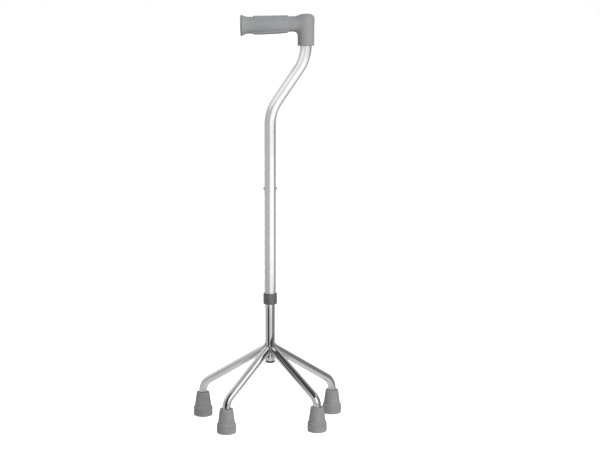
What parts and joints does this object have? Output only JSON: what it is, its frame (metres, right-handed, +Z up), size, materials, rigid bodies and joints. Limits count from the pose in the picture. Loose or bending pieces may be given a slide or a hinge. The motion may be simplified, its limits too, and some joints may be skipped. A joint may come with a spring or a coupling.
{
  "type": "quad walking cane",
  "caption": "Height-adjustable walking cane with a swan-neck tube, an L-shaped moulded grip and a splayed base of chromed legs standing on rubber ferrules.",
  "frame": {"origin": "on the floor, at the centre of the footprint of the feet", "axes": "+Z up along the tubes, -X towards the free end of the grip, -Y towards the two short legs"},
  "size_m": [0.294, 0.159, 0.79],
  "materials": {
    "grip_plastic": "moulded mid grey, satin",
    "anodised_aluminium": "satin anodised, natural silver",
    "chrome_plate": "bright chrome plate",
    "collar_plastic": "moulded dark grey, satin",
    "plug_plastic": "moulded black",
    "spring_steel": "bare spring strip",
    "button_brass": "bright brass",
    "ferrule_rubber": "moulded grey rubber, matt",
    "washer_steel": "zinc-plated"
  },
  "bodies": {
    "base": {"post": "chrome_plate", "post_plug": "plug_plastic", "spring_clip": "spring_steel", "leg_short_left": "chrome_plate", "leg_short_right": "chrome_plate", "leg_long_left": "chrome_plate", "leg_long_right": "chrome_plate", "ferrule_short_left": "ferrule_rubber", "ferrule_short_right": "ferrule_rubber", "ferrule_long_left": "ferrule_rubber", "ferrule_long_right": "ferrule_rubber", "washer_short_left": "washer_steel", "washer_short_right": "washer_steel", "washer_long_left": "washer_steel", "washer_long_right": "washer_steel"},
    "upper": {"upper_tube": "anodised_aluminium", "grip": "grip_plastic", "tube_collar": "collar_plastic"},
    "button_left": {"snap_button_left": "button_brass"},
    "button_right": {"snap_button_right": "button_brass"}
  },
  "joints": [
    {"name": "height_adjust", "type": "slide", "parent": "base", "child": "upper", "axis": [0, 0, 1], "range_m": [-0.05715, 0.17145]},
    {"name": "button_left_press", "type": "slide", "parent": "base", "child": "button_left", "axis": [1, 0, 0], "range_m": [0, 0.00407], "stiffness_N_per_m": 1500, "springref_m": -0.003, "deforming": ["spring_clip"]},
    {"name": "button_right_press", "type": "slide", "parent": "base", "child": "button_right", "axis": [-1, 0, 0], "range_m": [0, 0.00407], "stiffness_N_per_m": 1500, "springref_m": -0.003, "deforming": ["spring_clip"]}
  ]
}
